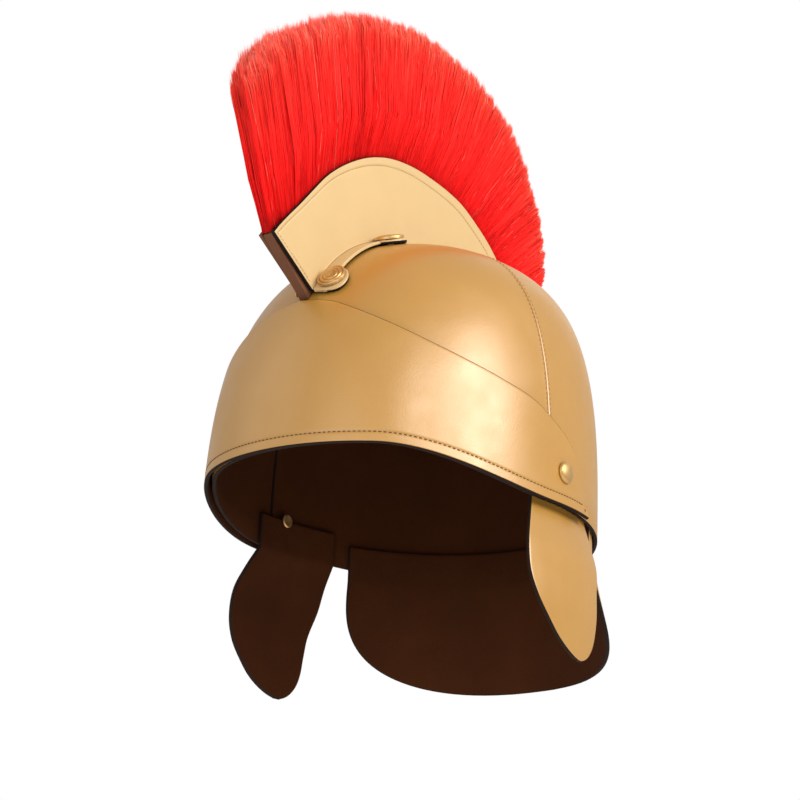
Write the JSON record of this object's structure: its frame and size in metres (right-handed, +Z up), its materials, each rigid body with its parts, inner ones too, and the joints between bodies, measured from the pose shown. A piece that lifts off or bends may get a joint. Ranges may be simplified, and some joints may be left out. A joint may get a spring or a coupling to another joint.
{
  "type": "gladiator helmet",
  "caption": "Costume gladiator helmet of gold faux leather: rounded cap, stitched brow band, cheek and neck guards, and an arched red bristle plume.",
  "frame": {"origin": "centre of the head opening, level with the cap's edge at the sides, where a head carries it", "axes": "+Z up, -Y the way the face looks, +X the wearer's left"},
  "size_m": [0.1928, 0.2554, 0.3421],
  "materials": {
    "gold_leather": "satin metallic gold, brown on the inside",
    "brown_core": "matt brown",
    "brass": "polished, with turned rings",
    "red_bristle": "bright red stiff bristle"
  },
  "bodies": {
    "root": {"cap_front": "gold_leather", "cap_back": "gold_leather", "brow_band": "gold_leather", "cheek_guard_left": "gold_leather", "cheek_guard_right": "gold_leather", "neck_guard": "gold_leather", "crest_side_left": "gold_leather", "crest_side_right": "gold_leather", "crest_core": "brown_core", "side_rivet_left": "brass", "side_rivet_right": "brass", "crest_rivet_left_1": "brass", "crest_rivet_left_2": "brass", "crest_rivet_left_3": "brass", "crest_rivet_left_4": "brass", "crest_rivet_right_1": "brass", "crest_rivet_right_2": "brass", "crest_rivet_right_3": "brass", "plume": "red_bristle"}
  },
  "joints": []
}
